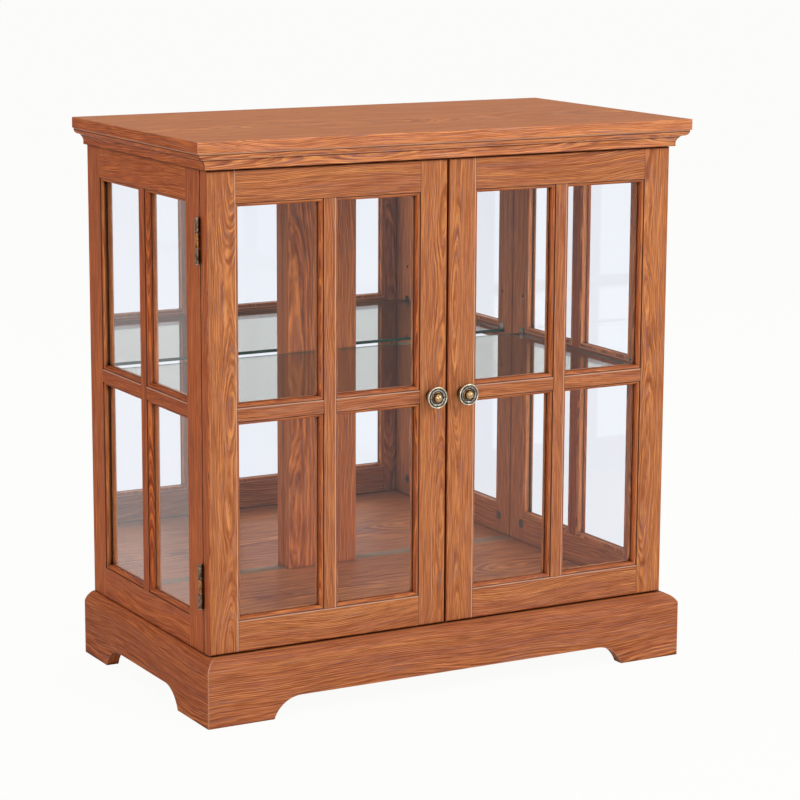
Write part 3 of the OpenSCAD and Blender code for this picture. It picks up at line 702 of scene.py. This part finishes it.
def dress_side(side):
    """A glazed side of the case, like a door's frame but along Y."""
    case = f"{side}_side_"
    ends = shoulders(case + "top_rail", 1)
    middle = sum(ends) / 2
    for piece, axis, joints, letter, at_high in (
        ("top_rail", "Y", ends, "Z", False), ("bottom_rail", "Y", ends, "Z", True),
        ("front_stile", "Z", (), "Y", True), ("rear_stile", "Z", (), "Y", False),
    ):
        name = case + piece
        # Outer faces get painted shade, faces to the front get the deep painted shade of the gap behind
        # a closed door, and the pin holes are painted dark inside as shade
        wear_by(
            name, side_part(name, side),
            oak(name, axis, "X", SHADED_SIDE, joints, **moulding_marks(name, letter, at_high, lit=False)),
            oak(name, axis, "X", INNER, joints, wear_and_highlight=0.0),
            oak(name, axis, "Y", INNER, joints, nook=GAP),
            SHADE,
        )
    name = case + "bars"
    up_joints, level_joints = bar_joints(name, ends)
    # The side bars get painted shade
    wear_by(
        name, lambda face: int(abs(face.center.y - middle) >= BAR_REACH),
        oak(name, "Z", "X", SHADED_SIDE_BAR, **bar_marks("Y", middle, up_joints, lit=False)),
        oak(name, "Y", "X", SHADED_SIDE_BAR, **bar_marks("Z", middle_of(name).z, level_joints)),
    )


def dress_fittings(side):
    """The stops, panes, mirror and hardware of one side."""
    door = f"{side}_door_"
    wear(door + "glazing_stops", oak(door + "glazing_stops", "Z", "Y", INNER))
    for name, material in (
        (door + "glass", PANE), (f"{side}_side_glass", PANE), (f"mirror_{side}", MIRROR),
        (door + "hinge_leaves", BRASS), (door + "screws", STEEL), (door + "strike", STEEL),
    ):
        wear(name, material)


# The knob: each part by its radius and by how far it stands out from the door, then the beads

DOME_R = 0.0086
DOME_OUT = 0.0179
RIM_R = 0.0135
RIM_OUT = 0.0140
RING_R = 0.0127
RING_OUT = 0.0178
BEADS = 30
BEAD_R = 0.00100
BEAD_AT = 0.0116
BEAD_OUT = 0.0186


def add_beads(side, x, y, z):
    """A ring of small beads around the dome of a knob."""
    shape = bmesh.new()
    for i in range(BEADS):
        angle = math.tau * i / BEADS
        place = Matrix.Translation((x + BEAD_AT * math.cos(angle), y, z + BEAD_AT * math.sin(angle)))
        bmesh.ops.create_icosphere(shape, subdivisions=2, radius=BEAD_R, matrix=place)
    for face in shape.faces:
        face.smooth = True
    mesh = bpy.data.meshes.new(f"{side}_knob_beads")
    shape.to_mesh(mesh)
    shape.free()
    mesh.materials.append(BEAD)
    beads = bpy.data.objects.new(f"{side}_knob_beads", mesh)
    bpy.context.scene.collection.objects.link(beads)
    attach(beads, f"{side}_door")


def dress_knob(side):
    """A brass dome in a dark ring, a bright rim, and pewter behind them."""
    name = f"{side}_door_knob"
    lo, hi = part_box(name)
    x = (lo[0] + hi[0]) / 2
    z = (lo[2] + hi[2]) / 2

    def choose(face):
        r = math.hypot(face.center.x - x, face.center.z - z)
        out = hi[1] - face.center.y
        if out > DOME_OUT and r < DOME_R:
            return 0
        if out > RIM_OUT and r > RIM_R:
            return 1
        return 2 if out > RING_OUT and r < RING_R else 3

    wear_by(name, choose, DOME, RIM, RING, PEWTER)
    add_beads(side, x, hi[1] - BEAD_OUT, z)


for side in ("left", "right"):
    dress_door(side)
    dress_side(side)
    dress_fittings(side)
    dress_knob(side)

# Plinth, post and panels, with how much deeper than usual the heart of the trunk lies

# The plinth's ends get painted shade
for name, axis, normal, tint, deep in (
    ("plinth_front", "X", "Y", PLINTH, 0.020), ("plinth_left", "Y", "X", SHADED_PLINTH_SIDE, 0.020),
    ("plinth_right", "Y", "X", SHADED_PLINTH_SIDE, 0.020),
    ("centre_post", "Z", "Y", POST, 0.030), ("floor_panel", "X", "Z", INNER, 0.050),
    ("top_panel", "X", "Z", INNER, 0.050), ("front_top_rail", "X", "Y", INNER, 0.0),
    ("head_rail", "X", "Y", INNER, 0.0),
):
    wear(name, oak(name, axis, normal, tint, deep=deep))

# The crown, down from its top and up from its foot: a fillet, an ovolo, a ledge, a cove and a band

FILLET_ARRIS = 0.0007
FILLET_FOOT = 0.0022
LEDGE_ARRIS = 0.0156
LEDGE_FOOT = 0.0138
BAND_FOOT = 0.0002
FINE_FIGURE = 1.0

lo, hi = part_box("crown_front")
# Painted highlights on the arrises of the fillet and the ledge, painted shade at the feet of the
# fillet, the ledge and the band, and the dark joint line of each mitre
crown_marks = {
    "pale": [("Z", [hi[2] - FILLET_ARRIS, lo[2] + LEDGE_ARRIS])],
    "dark": [("Z", [hi[2] - FILLET_FOOT, lo[2] + LEDGE_FOOT, lo[2] + BAND_FOOT])],
    "mitre": (hi[0], -lo[1]),
}
# The crown's ends get painted shade
for name, axis, normal, tint in (
    ("crown_front", "X", "Y", CROWN), ("crown_left", "Y", "X", SHADED_SIDE), ("crown_right", "Y", "X", SHADED_SIDE),
):
    wear(name, oak(name, axis, normal, tint, size=FINE_FIGURE, wear_and_highlight=0.0, **crown_marks))

# The top board: its face, its ends and its long edges

TOP_DEEP = 0.060
TOP_GLOSS = 0.012
TOP_CALM = 0.3
END_NORMAL = 0.7
EDGE_NORMAL = 0.3


def top_part(face):
    if abs(face.normal.x) > END_NORMAL:
        return 1
    return 2 if abs(face.normal.y) > EDGE_NORMAL else 0


lo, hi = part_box("top_board")
left_end = (lo[0], 0.0, lo[2])
front_edge = (0.0, lo[1], (lo[2] + hi[2]) / 2)
# The board's ends get painted shade
wear_by(
    "top_board", top_part,
    oak("top_board", "X", "Z", TOP, deep=TOP_DEEP, gloss=TOP_GLOSS, calm=TOP_CALM),
    oak("top_board", "Y", "X", SHADED_SIDE, size=FINE_FIGURE, centre=left_end),
    oak("top_board", "X", "Y", TOP_EDGE, size=FINE_FIGURE, centre=front_edge),
)

# What is left

wear("side_glazing_stops", oak("side_glazing_stops", "Z", "X", INNER))
for name, material in (
    ("plinth_back", PLY), ("corner_blocks", PLY), ("back_boards", PLY), ("shelf_clips", CLIP),
    ("cam_fittings", CAP), ("magnetic_catch", CATCH), ("case_hinge_leaves", BRONZE),
    ("case_hinge_screws", BRASS), ("hinge_pins", STEEL),
):
    wear(name, material)
wear_by("glass_shelf", lambda face: int(abs(face.normal.z) <= FACING), SHELF, EDGE)

# Floor, light and camera

PAGE = (1.0, 1.0, 0.986)
WORLD_LIGHT = 0.48
FLOOR_GREY = (0.80, 0.80, 0.79)
FLOOR_SHOWN = 0.95
FLOOR_R = 30.0
FLOOR_SIDES = 64
FLOOR_DROP = 0.0002


def shown_to(t):
    """1 for the rays that show the background: straight ones, and those in metal and glass."""
    path = t.add("ShaderNodeLightPath")
    seen = t.math("MAXIMUM", path.outputs["Is Camera Ray"], path.outputs["Is Glossy Ray"])
    return t.math("MAXIMUM", seen, path.outputs["Is Transmission Ray"])


def studio_world():
    """A white page to look at, and a dimmer, even light."""
    world = bpy.data.worlds.new("studio")
    bpy.context.scene.world = world
    world.use_nodes = True
    world.node_tree.nodes.clear()
    t = Tree(world.node_tree)
    lamp = t.shader("ShaderNodeBackground", WHITE, WORLD_LIGHT)
    page = t.shader("ShaderNodeBackground", PAGE, 1.0)
    t.put(t.blend(shown_to(t), lamp, page), t.add("ShaderNodeOutputWorld").inputs[0])


def pale_floor():
    """A grey that takes the shadows, shown nearly as white as the page."""
    mat, t = new_material("pale_floor")
    grey = t.shader("ShaderNodeBsdfDiffuse", FLOOR_GREY)
    page = t.shader("ShaderNodeEmission", PAGE)
    t.finish(t.blend(t.math("MULTIPLY", shown_to(t), FLOOR_SHOWN), grey, page))
    return mat


def lay_floor():
    mesh = bpy.data.meshes.new("floor")
    shape = bmesh.new()
    bmesh.ops.create_circle(shape, cap_ends=True, radius=FLOOR_R, segments=FLOOR_SIDES)
    shape.to_mesh(mesh)
    shape.free()
    mesh.materials.append(pale_floor())
    floor = bpy.data.objects.new("floor", mesh)
    bpy.context.scene.collection.objects.link(floor)
    floor.location.z = -FLOOR_DROP


def area_light(name, place, aim, size, power):
    data = bpy.data.lights.new(name, "AREA")
    data.shape = "RECTANGLE"
    data.size, data.size_y = size
    data.energy = power
    lamp = bpy.data.objects.new(name, data)
    lamp.location = place
    lamp.rotation_euler = (Vector(aim) - Vector(place)).to_track_quat("-Z", "Y").to_euler()
    lamp.visible_camera = False
    bpy.context.scene.collection.objects.link(lamp)


# The lamps: where each one stands, what it looks at, its size and its watts

FRONT_MIDDLE = (0.0, 0.0, 0.4)
LEFT_SIDE = (0.0, -0.1, 0.45)
TOP_MIDDLE = (0.0, 0.0, 0.8)
SOFTBOX = (2.4, 1.8)
LAMPS = {
    "key": ((2.2, -3.0, 2.6), FRONT_MIDDLE, SOFTBOX, 60.0),
    "front_left": ((-1.4, -4.0, 1.1), FRONT_MIDDLE, SOFTBOX, 24.0),
    "fill_left": ((-3.1, -2.3, 2.4), LEFT_SIDE, (1.3, 1.3), 22.0),
    "top": ((0.0, 0.2, 3.6), TOP_MIDDLE, (2.6, 2.6), 32.0),
}

# The camera, fitted to the photograph: angles in degrees, focal length in the picture's pixels

CAMERA_AT = (-1.952, -3.551, 1.183)
YAW = 29.18
PITCH = 10.95
ROLL = 0.26
FOCAL_PX = 2714.1
FRAME_PX = 800
SENSOR_MM = 36.0
FAR_END = 100.0


def set_camera():
    data = bpy.data.cameras.new("camera")
    data.sensor_width = SENSOR_MM
    data.lens = FOCAL_PX / FRAME_PX * data.sensor_width
    data.clip_end = FAR_END
    camera = bpy.data.objects.new("camera", data)
    bpy.context.scene.collection.objects.link(camera)
    yaw, pitch, roll = (math.radians(angle) for angle in (YAW, PITCH, ROLL))
    flat = math.cos(pitch)
    look = Vector((math.sin(yaw) * flat, math.cos(yaw) * flat, -math.sin(pitch)))
    camera.rotation_mode = "QUATERNION"
    turn = look.to_track_quat("-Z", "Y")
    camera.rotation_quaternion = turn @ Euler((0.0, 0.0, roll)).to_quaternion()
    camera.location = CAMERA_AT
    bpy.context.scene.camera = camera


studio_world()
lay_floor()
for name, settings in LAMPS.items():
    area_light(name, *settings)
set_camera()
bpy.context.scene.view_settings.view_transform = "Standard"

bpy.context.view_layer.update()
